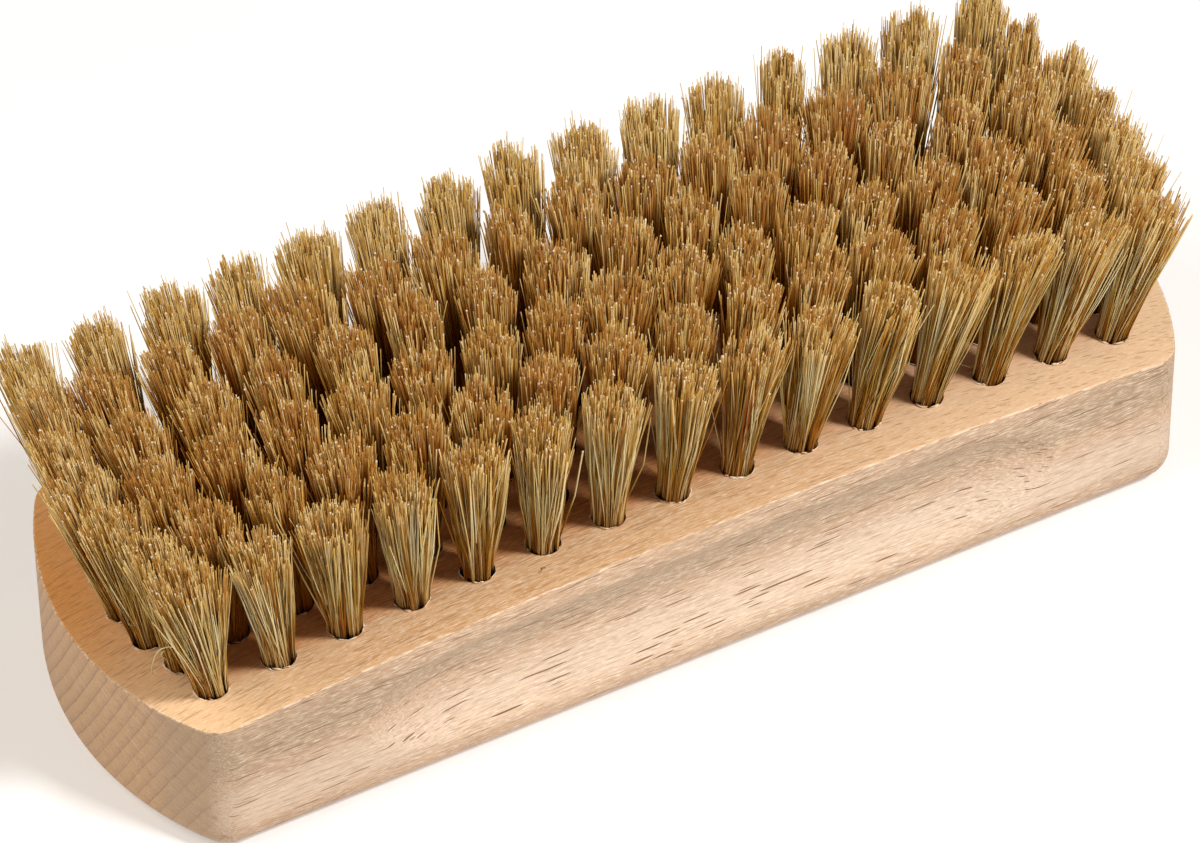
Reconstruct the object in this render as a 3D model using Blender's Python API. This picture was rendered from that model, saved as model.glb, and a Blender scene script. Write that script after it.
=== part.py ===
"""Shoe shine brush: a beech block on its back with its bristles up, in metres, +Z up.

X runs along the length, Y across the width, and z = 0 is the flat back that the brush rests on.
The block is one solid with a blind hole for every tuft. Each row of tufts is one body: the tufts'
strands, the packed root of each tuft in its hole, and a slice of the block that joins the roots.
"""
import math
import random

import bmesh
import bpy
from mathutils import Matrix, Vector

# Block
BLOCK_LENGTH = 0.1500
BLOCK_WIDTH = 0.0498
BLOCK_HEIGHT = 0.0239      # in the middle of the length
FACE_DROP = 0.0035         # the bristle face is bowed along X: it is this much lower at the ends
END_BULGE = 0.0077         # how far the rounded ends stand out past the corners
CORNER_RADIUS = 0.0045     # upright corners, seen from above
BACK_ROUNDING = 0.0036     # edge between the sides and the flat back

# Finger grooves, one in each long side
GROOVE_LENGTH = 0.0975
GROOVE_HEIGHT = 0.0162
GROOVE_DEPTH = 0.0026
GROOVE_RUNOUT = 0.0170     # length over which the cutter rises out of the wood at each end
GROOVE_LEVEL = 0.0124      # height of the groove's middle line above the back
GROOVE_SHIFT = 0.0012      # of the groove's middle towards the right end

# Tuft field
HOLE_DIAMETER = 0.0042
HOLE_DEPTH = 0.0105        # in the middle of the length
OUTER_ROW_Y = 0.0172       # first and last row
MIDDLE_ROW_Y = 0.0104      # second and fifth row
INNER_ROW_Y = 0.0035       # third and fourth row
OUTER_ROW_MARGIN = 0.0115  # from the end of the block to the first hole of a row
MIDDLE_ROW_MARGIN = 0.0177
INNER_ROW_MARGIN = 0.0162
OUTER_ROW_REACH = BLOCK_LENGTH / 2 - OUTER_ROW_MARGIN
MIDDLE_ROW_REACH = BLOCK_LENGTH / 2 - MIDDLE_ROW_MARGIN
INNER_ROW_REACH = BLOCK_LENGTH / 2 - INNER_ROW_MARGIN
OUTER_ROW_COUNT = 15
SHORT_ROW_COUNT = 14       # rows two, four and five
THIRD_ROW_COUNT = 15
FOURTH_ROW_SHIFT = 0.0008  # along X, as the rows aren't drilled quite in step
FIFTH_ROW_SHIFT = -0.0010
FIELD_SHIFT = -0.0008      # of the whole field along X
END_HOLE_SPACING = 0.0057  # between the five holes that close each end
END_HOLE_MARGIN = 0.0082   # from the end of the block to the middle one of the five
END_HOLE_REACH = BLOCK_LENGTH / 2 - END_HOLE_MARGIN
END_HOLE_BOW = 0.0022      # how much nearer the outer two of the five are
END_HOLE_COUNT = 5

# Tufts
TRIM_HEIGHT = 0.0243       # of the cut tips above the face
FAN_X = 0.066              # growth of the field from the face to the tips, as the holes lean out
FAN_Y = 0.27
STRANDS_IN_TUFT = 5
STRAND_SIDES = 3
STRAND_ROOT_RADIUS = 0.00070
STRAND_TIP_RADIUS = 0.00190
STRAND_ROOT_REACH = 0.00082  # from the tuft's axis to the strand's axis
STRAND_TIP_REACH = 0.00220
END_STRAND_TIP_RADIUS = 0.00160
END_STRAND_TIP_REACH = 0.00185
TRIM_UNEVENNESS = 0.0006
ROOT_RADIUS = 0.00175      # packed root in the hole
ROOT_SINK = 0.0005         # of the root's top under the face
SLICE_WIDTH = 0.0041       # slice of the block that joins the roots of a row
SLICE_THICKNESS = 0.0016
CLEARANCE = 0.0003         # between pieces that would touch

# Facets
FACE_STEPS = 24
END_STEPS = 16
CORNER_STEPS = 4
ROUNDING_STEPS = 3
HOLE_SIDES = 10
GROOVE_SIDES = 32
GROOVE_RINGS = 17

BEECH = (0.610, 0.400, 0.245, 1.0)
BRISTLE = (0.480, 0.300, 0.105, 1.0)

OVERLAP = 0.0006           # by which joined shapes run into each other
MARGIN = 0.0040            # by which a cutter runs past the wood

slice_top = BLOCK_HEIGHT - HOLE_DEPTH + CLEARANCE + SLICE_THICKNESS
slice_bottom = slice_top - SLICE_THICKNESS


def clear_scene():
    for obj in list(bpy.data.objects):
        bpy.data.objects.remove(obj, do_unlink=True)


def new_collection(name):
    collection = bpy.data.collections.new(name)
    bpy.context.scene.collection.children.link(collection)
    return collection


def new_material(name, color, roughness):
    material = bpy.data.materials.new(name)
    material.use_nodes = True
    shader = material.node_tree.nodes["Principled BSDF"]
    shader.inputs["Base Color"].default_value = color
    shader.inputs["Roughness"].default_value = roughness
    shader.inputs["Metallic"].default_value = 0.0
    material.diffuse_color = color
    return material


def object_of(name, bm, collection):
    mesh = bpy.data.meshes.new(name)
    bm.to_mesh(mesh)
    bm.free()
    obj = bpy.data.objects.new(name, mesh)
    collection.objects.link(obj)
    return obj


def add_cutter(name, bm):
    obj = object_of(name, bm, cutters)
    obj.hide_render = True
    obj.display_type = "WIRE"
    return obj


def add_boolean(obj, other, operation):
    modifier = obj.modifiers.new(other.name, "BOOLEAN")
    modifier.operation = operation
    modifier.object = other
    modifier.solver = "EXACT"


def box_into(bm, x0, x1, y0, y1, z0, z1):
    """Adds an upright box between these limits."""
    middle = Vector(((x0 + x1) / 2, (y0 + y1) / 2, (z0 + z1) / 2))
    size = Vector((x1 - x0, y1 - y0, z1 - z0))
    bmesh.ops.create_cube(bm, size=1.0, matrix=Matrix.Translation(middle) @ Matrix.Diagonal(size).to_4x4())


def rod_into(bm, start, end, toward, sides, radius_start, radius_end):
    """Adds a rod of this many sides from start to end, with one of its edges on the side named by toward."""
    along = (end - start).normalized()
    up = (toward - toward.dot(along) * along).normalized()
    across = up.cross(along)
    turn = Matrix((across, up, along)).transposed().to_4x4()
    place = Matrix.Translation((start + end) / 2) @ turn
    bmesh.ops.create_cone(
        bm,
        cap_ends=True,
        segments=sides,
        radius1=radius_start,
        radius2=radius_end,
        depth=(end - start).length,
        matrix=place,
    )


def face_height(x):
    """Height of the bowed bristle face above the back."""
    return BLOCK_HEIGHT - FACE_DROP * (x / (BLOCK_LENGTH / 2)) ** 2


def outline_quarter(inset):
    """A quarter of the block's outline, drawn in by inset, from the middle of the right end to the front."""
    half = BLOCK_WIDTH / 2
    end_radius = (half**2 + END_BULGE**2) / (2 * END_BULGE)
    end_centre = BLOCK_LENGTH / 2 - end_radius
    corner_y = half - CORNER_RADIUS
    corner_x = end_centre + math.sqrt((end_radius - CORNER_RADIUS) ** 2 - corner_y**2)
    turn = math.atan2(corner_y, corner_x - end_centre)
    arc = end_radius - inset
    corner = CORNER_RADIUS - inset
    points = []
    for step in range(END_STEPS // 2 + 1):
        angle = turn * step / (END_STEPS // 2)
        points.append((end_centre + arc * math.cos(angle), -arc * math.sin(angle)))
    for step in range(1, CORNER_STEPS + 1):
        angle = turn + (math.pi / 2 - turn) * step / CORNER_STEPS
        points.append((corner_x + corner * math.cos(angle), -corner_y - corner * math.sin(angle)))
    return points


def outline(inset):
    """The whole outline, once round."""
    quarter = outline_quarter(inset)
    front = quarter + [(-x, y) for x, y in reversed(quarter)]
    back = [(x, -y) for x, y in reversed(front)]
    return front + back[1:-1]


def block_blank():
    """The outline as a filled curve, extruded past the face; its bevel grows out to the outline and rounds the back."""
    height = BLOCK_HEIGHT + MARGIN + BACK_ROUNDING
    curve = bpy.data.curves.new("blank_outline", "CURVE")
    curve.dimensions = "2D"
    curve.fill_mode = "BOTH"
    curve.extrude = height / 2 - BACK_ROUNDING
    curve.bevel_depth = BACK_ROUNDING
    curve.bevel_resolution = ROUNDING_STEPS - 1
    spline = curve.splines.new("POLY")
    points = outline(BACK_ROUNDING)
    spline.points.add(len(points) - 1)
    for point, (x, y) in zip(spline.points, points):
        point.co = (x, y, 0.0, 1.0)
    spline.use_cyclic_u = True
    blank = bpy.data.objects.new("blank_outline", curve)
    blank.location.z = height / 2
    bpy.context.scene.collection.objects.link(blank)
    graph = bpy.context.evaluated_depsgraph_get()
    mesh = bpy.data.meshes.new_from_object(blank.evaluated_get(graph))
    bm = bmesh.new()
    bm.from_mesh(mesh)
    bm.transform(blank.evaluated_get(graph).matrix_world)
    bpy.data.objects.remove(blank, do_unlink=True)
    bmesh.ops.remove_doubles(bm, verts=bm.verts, dist=1e-6)
    bmesh.ops.recalc_face_normals(bm, faces=bm.faces)
    return bm


def face_cutter():
    """Everything above the bowed face: a plate whose underside follows face_height."""
    reach = BLOCK_LENGTH / 2 + MARGIN
    bm = bmesh.new()
    bmesh.ops.create_grid(bm, x_segments=FACE_STEPS, y_segments=1, size=1.0)
    for vert in bm.verts:
        x = vert.co.x * reach
        vert.co = Vector((x, vert.co.y * (BLOCK_WIDTH / 2 + MARGIN), face_height(x)))
    made = bmesh.ops.extrude_face_region(bm, geom=bm.faces[:])
    for vert in (item for item in made["geom"] if isinstance(item, bmesh.types.BMVert)):
        vert.co.z = BLOCK_HEIGHT + 2 * MARGIN
    bmesh.ops.recalc_face_normals(bm, faces=bm.faces)
    return bm


def groove_cutter(side):
    """A ball pulled out along X whose flank dips GROOVE_DEPTH into the long side at y = side * half the width."""
    half_height = GROOVE_HEIGHT / 2
    radius = (half_height**2 + GROOVE_DEPTH**2) / (2 * GROOVE_DEPTH)
    stretch = GROOVE_RUNOUT / half_height
    straight = GROOVE_LENGTH / 2 - GROOVE_RUNOUT
    bm = bmesh.new()
    bmesh.ops.create_uvsphere(bm, u_segments=GROOVE_SIDES, v_segments=GROOVE_RINGS, radius=radius)
    bm.transform(Matrix.Rotation(math.pi / 2, 4, "Y"))
    middle_y = side * (BLOCK_WIDTH / 2 + radius - GROOVE_DEPTH)
    for vert in bm.verts:
        along = vert.co.x * stretch + math.copysign(straight, vert.co.x)
        vert.co = Vector((along + GROOVE_SHIFT, vert.co.y + middle_y, vert.co.z + GROOVE_LEVEL))
    bmesh.ops.recalc_face_normals(bm, faces=bm.faces)
    return bm


class Tuft:
    """A hole in the face and the tuft that stands in it, both along one leaning axis."""

    def __init__(self, x, y, tip_radius, tip_reach):
        self.x = x + FIELD_SHIFT
        self.y = y
        self.level = face_height(self.x)
        self.lean = Vector((FAN_X * x, FAN_Y * y, TRIM_HEIGHT)) / TRIM_HEIGHT
        self.tip_radius = tip_radius
        self.tip_reach = tip_reach

    def at(self, height):
        """The point of the axis at this height above the face."""
        return Vector((self.x, self.y, self.level)) + self.lean * height

    def at_level(self, z):
        return self.at(z - self.level)


def row_tufts(y, count, reach, shift=0.0):
    tufts = []
    for index in range(count):
        x = shift - reach + 2 * reach * index / (count - 1)
        tufts.append(Tuft(x, y, STRAND_TIP_RADIUS, STRAND_TIP_REACH))
    return tufts


def end_tufts(side):
    tufts = []
    last = (END_HOLE_COUNT - 1) // 2
    for index in range(-last, last + 1):
        x = side * (END_HOLE_REACH - END_HOLE_BOW * (index / last) ** 2)
        tufts.append(Tuft(x, END_HOLE_SPACING * index, END_STRAND_TIP_RADIUS, END_STRAND_TIP_REACH))
    return tufts


def strand_directions(number):
    """The directions of a tuft's strands, turned from one tuft to the next."""
    turn = number * math.pi * (3 - math.sqrt(5))
    for strand in range(STRANDS_IN_TUFT):
        angle = turn + 2 * math.pi * strand / STRANDS_IN_TUFT
        yield Vector((math.cos(angle), math.sin(angle), 0.0))


def slice_limits(tufts, gap):
    """Limits in X and Y of the slice that joins these tufts' roots, grown by gap."""
    feet = [tuft.at_level(slice_top) for tuft in tufts]
    grow = SLICE_WIDTH / 2 + gap
    xs = [foot.x for foot in feet]
    ys = [foot.y for foot in feet]
    return min(xs) - grow, max(xs) + grow, min(ys) - grow, max(ys) + grow


def add_tuft_group(name, tufts, first_number, chance):
    """One node: the slice, with the roots and the strands joined to it."""
    slice_bm = bmesh.new()
    box_into(slice_bm, *slice_limits(tufts, 0.0), slice_bottom, slice_top)
    group = object_of(name, slice_bm, brush)
    group.data.materials.append(bristle)

    roots = bmesh.new()
    strands = bmesh.new()
    for number, tuft in enumerate(tufts, first_number):
        directions = list(strand_directions(number))
        rod_into(
            roots,
            tuft.at_level(slice_top - OVERLAP),
            tuft.at(-ROOT_SINK),
            directions[0],
            STRANDS_IN_TUFT,
            ROOT_RADIUS,
            ROOT_RADIUS,
        )
        for outward in directions:
            root = tuft.at(-ROOT_SINK - OVERLAP) + outward * STRAND_ROOT_REACH
            height = TRIM_HEIGHT + TRIM_UNEVENNESS * (2 * chance.random() - 1)
            tip = tuft.at(height) + outward * tuft.tip_reach
            rod_into(strands, root, tip, -outward, STRAND_SIDES, STRAND_ROOT_RADIUS, tuft.tip_radius)
    add_boolean(group, add_cutter(name + "_roots", roots), "UNION")
    add_boolean(group, add_cutter(name + "_strands", strands), "UNION")
    return group


def add_block(groups):
    blank = block_blank()
    block = object_of("block", blank, brush)
    block.data.materials.append(beech)
    add_boolean(block, add_cutter("above_face", face_cutter()), "DIFFERENCE")
    add_boolean(block, add_cutter("groove_front", groove_cutter(-1)), "DIFFERENCE")
    add_boolean(block, add_cutter("groove_back", groove_cutter(1)), "DIFFERENCE")

    seats = bmesh.new()
    holes = bmesh.new()
    # The hole's flats, not its corners, keep the clearance.
    radius = HOLE_DIAMETER / 2 / math.sqrt(math.cos(math.pi / HOLE_SIDES))
    for tufts in groups:
        box_into(seats, *slice_limits(tufts, CLEARANCE), slice_bottom - CLEARANCE, slice_top + CLEARANCE)
        for tuft in tufts:
            start = tuft.at_level(slice_top - SLICE_THICKNESS / 2)
            rod_into(holes, start, tuft.at(MARGIN), Vector((1.0, 0.0, 0.0)), HOLE_SIDES, radius, radius)
    add_boolean(block, add_cutter("slice_seats", seats), "DIFFERENCE")
    add_boolean(block, add_cutter("tuft_holes", holes), "DIFFERENCE")
    return block


def least_gap(tufts):
    """The smallest distance between the tip circles of two tufts."""
    least = 1.0
    for index, first in enumerate(tufts):
        for second in tufts[index + 1:]:
            apart = first.at(TRIM_HEIGHT) - second.at(TRIM_HEIGHT)
            circles = 0.0
            for tuft in (first, second):
                out = tuft.tip_reach + tuft.tip_radius / 2
                circles += math.hypot(out, tuft.tip_radius * math.sqrt(3) / 2)
            least = min(least, Vector((apart.x, apart.y)).length - circles)
    return least


clear_scene()
brush = new_collection("shoe_shine_brush")
cutters = new_collection("cutters")
beech = new_material("beech", BEECH, 0.55)
bristle = new_material("bristle", BRISTLE, 0.60)

named_groups = [
    ("tuft_row_1", row_tufts(-OUTER_ROW_Y, OUTER_ROW_COUNT, OUTER_ROW_REACH)),
    ("tuft_row_2", row_tufts(-MIDDLE_ROW_Y, SHORT_ROW_COUNT, MIDDLE_ROW_REACH)),
    ("tuft_row_3", row_tufts(-INNER_ROW_Y, THIRD_ROW_COUNT, INNER_ROW_REACH)),
    ("tuft_row_4", row_tufts(INNER_ROW_Y, SHORT_ROW_COUNT, INNER_ROW_REACH, FOURTH_ROW_SHIFT)),
    ("tuft_row_5", row_tufts(MIDDLE_ROW_Y, SHORT_ROW_COUNT, MIDDLE_ROW_REACH, FIFTH_ROW_SHIFT)),
    ("tuft_row_6", row_tufts(OUTER_ROW_Y, OUTER_ROW_COUNT, OUTER_ROW_REACH)),
    ("tuft_end_left", end_tufts(-1)),
    ("tuft_end_right", end_tufts(1)),
]
every_tuft = [tuft for _, tufts in named_groups for tuft in tufts]
chance = random.Random(7)
first_number = 0
for name, tufts in named_groups:
    add_tuft_group(name, tufts, first_number, chance)
    first_number += len(tufts)
add_block([tufts for _, tufts in named_groups])
print(f"{first_number} tufts, {first_number * STRANDS_IN_TUFT} strands, least gap at the tips "
      f"{1000 * least_gap(every_tuft):.2f} mm")
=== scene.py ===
"""Looks of the shoe shine brush: beech block, fanned tufts of natural bristle, wood chips round the holes."""
import math

import bmesh
import bpy
import numpy as np
from mathutils import Matrix, Vector


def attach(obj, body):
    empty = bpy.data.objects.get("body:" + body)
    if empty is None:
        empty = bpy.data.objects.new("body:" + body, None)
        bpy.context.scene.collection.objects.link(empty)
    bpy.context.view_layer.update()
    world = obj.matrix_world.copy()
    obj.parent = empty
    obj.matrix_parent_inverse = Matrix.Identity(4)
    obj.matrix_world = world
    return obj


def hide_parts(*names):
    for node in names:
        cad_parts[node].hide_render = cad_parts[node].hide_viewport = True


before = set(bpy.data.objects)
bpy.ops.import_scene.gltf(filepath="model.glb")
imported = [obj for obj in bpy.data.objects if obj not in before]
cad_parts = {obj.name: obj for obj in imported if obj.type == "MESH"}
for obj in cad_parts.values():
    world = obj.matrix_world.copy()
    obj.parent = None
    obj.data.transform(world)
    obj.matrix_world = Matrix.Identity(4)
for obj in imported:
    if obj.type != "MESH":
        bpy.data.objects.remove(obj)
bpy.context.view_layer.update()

# Block, in metres as in the part's source
BLOCK_LENGTH = 0.1500
BLOCK_WIDTH = 0.0498
BLOCK_HEIGHT = 0.0239
FACE_DROP = 0.0035
END_BULGE = 0.0077
CORNER_RADIUS = 0.0045
BACK_ROUNDING = 0.0036
EDGE_ROUNDING = 0.00024    # worn edge between the sides and the bristle face
GROOVE_LENGTH = 0.0975
GROOVE_HEIGHT = 0.0162
GROOVE_DEPTH = 0.0026
GROOVE_RUNOUT = 0.0170
GROOVE_LEVEL = 0.0124
GROOVE_SHIFT = 0.0012
GROOVE_SOFTNESS = 0.00012  # rounding of the groove's rim by sanding

# Tuft field
HOLE_RADIUS = 0.0021
HOLE_DEPTH = 0.0085
OUTER_ROW_Y = 0.0172
MIDDLE_ROW_Y = 0.0104
INNER_ROW_Y = 0.0035
OUTER_ROW_REACH = 0.0635
MIDDLE_ROW_REACH = 0.0573
INNER_ROW_REACH = 0.0588
FOURTH_ROW_SHIFT = 0.0008
FIFTH_ROW_SHIFT = -0.0010
SIXTH_ROW_SHIFT = -0.0012
FIELD_LEAN = -0.0004         # of all tips in X, beside the fan
SIXTH_ROW_LEAN = 0.0011      # of its tips in X, beside the lean of all tips
FRONT_ROW_LEAN = np.append(np.full(14, -0.0003), -0.0012)
FRONT_ROW_TRIM = np.append(0.0014, np.zeros(14))
FIELD_SHIFT = -0.0008
END_HOLE_SPACING = 0.0057
END_HOLE_REACH = 0.0668
END_HOLE_BOW = 0.0022
TRIM_HEIGHT = 0.0243
FAN_X = 0.066
FAN_Y = 0.27

# What sets one kind of tuft apart: the spread of its head at the tips, the share of pale hairs, the tone of
# the other hairs, and how far a hair's tone falls from the tip to the face as painted shade
# Painted light and shade: the outer rows and the ends have more pale hairs and paler tones, the inner rows
# darker ones
FRONT_TUFTS = {"head": 0.00360, "pale": np.append([0.95, 0.85, 0.75], np.full(12, 0.56)), "base": 0.42,
               "painted_shade_to_face": -0.05}
INNER_TUFTS = {"head": 0.00335, "pale": 0.30, "base": 0.33, "painted_shade_to_face": 0.62}
BACK_TUFTS = {"head": 0.00315, "pale": 0.80, "base": 0.64, "painted_shade_to_face": 0.10}
END_TUFTS = {"head": 0.00330, "pale": 0.80, "base": 0.44, "painted_shade_to_face": 0.16}
LEFT_HEADS_WIDER = 0.10    # so much broader are the heads at the far left
LEFT_HEADS_REACH = 0.04    # stretch over which they grow broader, from x = -20 mm to x = -60 mm

# Bristles
HAIRS_IN_TUFT = 640
STRIP_HAIRS = 11           # neighbours that run side by side as one strip
LOCKS_IN_TUFT = 12         # each draws the tips round it together
BUNDLE_RADIUS = 0.00190    # packed bundle in the hole
BUNDLE_EDGE = 1.03         # furthest root from its middle, in parts of its radius
OUTER_HAIRS = 0.72         # where a bundle's outer hairs begin
OUTER_HAIRS_DEPTH = 0.2
HAIR_RADIUS = 0.000087
HAIR_PROFILE = np.array([0.90, 1.00, 0.96, 0.66])  # thickness from root to tip
HAIR_KNOTS = np.array([0.10, 0.52, 1.0])           # in parts of the length above the face
HAIR_SINK = 0.0035         # of the lowest drawn part of a hair under the face
SIDE_LIMIT = 0.0266        # how far out in Y a hair may lean
END_LIMIT = 0.0778         # the same in X
BRIGHT_END_SHARE = 0.05    # share of hairs whose cut end catches the light
BRIGHT_END_WIDER = 1.6
# Cut ends: the paler section of a cut hair, and partly a painted highlight
CUT_ENDS_IN_TUFT = 12      # blunt cream ends that stand out of a head
CUT_END_RADIUS = 0.00015
CUT_END_LENGTH = 0.00034
CUT_END_KNOTS = np.array([-0.8, -0.5, -0.1, 0.2])  # along the hair from its tip, in parts of the length
CUT_END_PROFILE = np.array([0.5, 1, 1, 0.8])

# Chance in a tuft: places in parts of the radius of bundle or head, lengths in metres, turns in radians
PACKING_SPREAD = 0.05
WILD_SHARE = 0.16          # share of hairs that leave their strip
WILD_SPREAD = 0.45
TAME_SPREAD = 0.09
SPLAYED_SHARE = 0.10       # share of strips that leave their place
SPLAYED_SPREAD = 0.55
STRIP_SPREAD = 0.18
ROOT_SPREAD = 0.10
HEAD_EDGE = 1.32           # furthest place of a hair in the head
HEAD_SIZE_SPREAD = 0.06
HEAD_STRETCH_SPREAD = 0.13
LOCK_RINGS = (0.8, 0.55)   # locks lie on these in turn, round one in the middle
LOCK_TURN = 1.7            # from one lock to the next, in golden angles
LOCK_SPREAD = 0.20
TUFT_PULL = (0.15, 0.60)   # how strongly locks draw hairs, least and most, for a tuft and for a hair
HAIR_PULL = (-0.2, 1.3)
SWING_EDGE = 0.7           # outside this, hairs swing round the axis by more
OUTER_SWING = 0.14
INNER_SWING = 0.06
STRIP_SWING = 0.16
STRAY_SHARE = 0.040        # share of hairs that stand out of the head
STRAY_TURN = 0.7
STRAY_REACH = (0.0004, 0.0026)
LOCK_BOW = 0.00020
HAIR_BOW = 0.00016
STRAY_BOW = 2.5            # how much more a stray bows
LOCK_HEIGHT_SPREAD = 0.00060
LENGTH_SPREAD = 0.00062
LENGTH_EXCESS = 0.0011     # of the longest hair over the trim
DOME = 0.0010              # fall of the head from its middle to its edge
SHORT_SHARE = 0.34         # share of hairs that end below the trim
SHORT_BY = 0.0060
SHORT_POWER = 1.4
BEND = (0.86, 1.24)        # least and most power of the curve on which a hair spreads

# Tones, from 0 for dark brown through straw to 0.95 for cream; above that, black
PALE_TONE = 0.81
PALE_LEAST = 0.35          # share of pale ones among hairs that stand apart
PALE_WIDER = 1.06
PLAIN_WIDER = 0.98
# The outer hairs of a bundle are paler as painted light
TONE_SPREAD = 0.08         # of single hairs and of plain strips, and how much paler the outer hairs are
PALE_STRIP_SPREAD = 0.03
TUFT_TONE_SPREAD = 0.035
ROOT_TONE_SPREAD = 0.27
TONE_LIMITS = (0.06, 0.94)
# Painted shade: the highest tone falls towards the face
ROOT_TONE_FALL = 0.06      # of the upper limit towards the face
BLACK_TONE = 0.995
CREAM_TONE = 0.9
BLACK_SHARE = 0.0008       # share of black hairs
# Painted shade between the hairs at the face: so many hairs are dark there
DARK_ROOT_SHARE = 0.15     # share of hairs that are dark at the face
THIN_ROOT_SHARE = 0.35     # share of hairs that are thin there
THIN_ROOT = 0.60
THICKNESS_SPREAD = 0.22
GOLDEN_ANGLE = math.pi * (3 - math.sqrt(5))

FIBRES_AT_HOLE = 10        # torn wood fibres at the rim of a hole
FIBRE_HEADING = math.radians(222)  # the side of the hole where most of them are
FIBRE_RADIUS = 0.000115
FIBRE_PROFILE = np.array([0.5, 1.1, 1.0, 0.6, 0.15])

# Loose bristles: points on the path in millimetres, radius in metres, tone
LOOSE_BRISTLES = [
    ([(-65.4, -16.3, 22.8), (-66.0, -15.8, 24.3), (-66.7, -15.5, 26.0), (-67.4, -15.3, 27.4),
      (-68.1, -14.7, 27.9), (-68.8, -13.9, 27.3), (-69.3, -13.2, 26.2), (-69.6, -12.9, 25.0),
      (-69.9, -12.7, 23.6), (-69.9, -12.6, 22.1)], 0.00014, 0.92),
    ([(-67.1, -13.5, 25.4), (-67.6, -13.2, 26.0), (-68.2, -12.9, 25.7), (-68.5, -12.5, 24.7),
      (-67.9, -12.6, 23.8), (-67.7, -12.8, 23.0)], 0.00011, 0.88),
    ([(-67.3, -7.6, 27.1), (-68.3, -7.4, 26.6), (-69.1, -7.2, 26.0), (-69.8, -6.9, 25.5),
      (-69.9, -6.5, 25.9), (-69.5, -6.4, 27.3), (-69.2, -6.7, 28.9)], 0.00010, 0.86),
    ([(62.8, -18.7, 20.9), (64.4, -18.6, 23.7), (66.8, -18.9, 28.2), (69.3, -19.8, 34.3),
      (71.6, -20.5, 40.2)], 0.00018, 0.86),
    ([(41.0, -14.7, 24.5), (42.2, -15.7, 24.0), (43.4, -16.5, 23.6), (44.7, -17.2, 23.4)], 0.00013, 0.92),
    ([(-21.6, -19.1, 23.2), (-21.3, -20.6, 23.5), (-21.0, -21.6, 24.3), (-21.3, -22.3, 25.0)], 0.00010, 0.74),
]

# Beech, in millimetres
PITH = (140.0, 99.0)         # of the tree, in Y and Z at x = 0
PITH_DRIFT = (0.052, 0.037)  # of the pith in Y and Z for each millimetre along X
PITH_DISTANCE = 170.0        # from the middle of the block, to turn angles round it into lengths
RING_WIDTH = 1.72
SLOW_WAVER = 3.2             # how far the rings waver, over centimetres and over millimetres
QUICK_WAVER = 0.45
CORNER_PLACE = (-69.3, -21.0)  # of the burnished corner
HEIGHT_OF_RELIEF = 0.00008   # of the grain, in metres

# Camera: where the photograph was taken from
CAMERA_TARGET = Vector((0.004447, 0.011001, 0.010))
CAMERA_AZIMUTH = -28.496
CAMERA_ELEVATION = 43.386
CAMERA_ROLL = -0.649
CAMERA_DISTANCE = 0.910192
CAMERA_LENS = 215.19


# Block and holes


def face_height(x):
    """Height of the bristle face: a parabola along X, FACE_DROP lower at the ends than in the middle."""
    return BLOCK_HEIGHT - FACE_DROP * (x / (BLOCK_LENGTH / 2)) ** 2


def mesh_object(name, points, loops, starts, material, smooth=True):
    """A mesh object from arrays: points, the corners of all faces in one row, and where each face starts."""
    mesh = bpy.data.meshes.new(name)
    mesh.vertices.add(len(points))
    mesh.vertices.foreach_set("co", np.asarray(points, np.float32).ravel())
    mesh.loops.add(len(loops))
    mesh.loops.foreach_set("vertex_index", np.asarray(loops, np.int32))
    mesh.polygons.add(len(starts))
    mesh.polygons.foreach_set("loop_start", np.asarray(starts, np.int32))
    mesh.update(calc_edges=True)
    mesh.validate()
    mesh.polygons.foreach_set("use_smooth", np.full(len(starts), smooth))
    mesh.materials.append(material)
    obj = bpy.data.objects.new(name, mesh)
    bpy.context.scene.collection.objects.link(obj)
    return obj


def ring_faces(rings, around):
    """Four-cornered faces between closed rings that are stacked upwards and run clockwise seen from above."""
    ring, step = np.meshgrid(np.arange(rings - 1), np.arange(around), indexing="ij")
    after = (step + 1) % around
    corners = [ring * around + step, (ring + 1) * around + step,
               (ring + 1) * around + after, ring * around + after]
    return np.stack(corners, axis=-1).reshape(-1, 4)


def outline(inset):
    """The block's outline drawn in by inset, clockwise from the middle of the right end: an end arc, a corner
    arc and half a long side make a quarter, and the other quarters mirror it."""
    half = BLOCK_WIDTH / 2
    end_radius = (half**2 + END_BULGE**2) / (2 * END_BULGE)
    end_centre = BLOCK_LENGTH / 2 - end_radius
    corner_y = half - CORNER_RADIUS
    corner_x = end_centre + math.sqrt((end_radius - CORNER_RADIUS) ** 2 - corner_y**2)
    turn = math.atan2(corner_y, corner_x - end_centre)
    angle = np.linspace(0, turn, 29)
    end = np.stack([end_centre + (end_radius - inset) * np.cos(angle),
                    -(end_radius - inset) * np.sin(angle)], 1)
    angle = np.linspace(turn, math.pi / 2, 13)[1:]
    corner = np.stack([corner_x + (CORNER_RADIUS - inset) * np.cos(angle),
                       -corner_y - (CORNER_RADIUS - inset) * np.sin(angle)], 1)
    along = np.linspace(corner_x, 0, 85)[1:]
    side = np.stack([along, np.full_like(along, inset - half)], 1)
    quarter = np.concatenate([end, corner, side])
    front = np.concatenate([quarter, quarter[-2::-1] * (-1, 1)])
    return np.concatenate([front, front[-2:0:-1] * (1, -1)])


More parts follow.
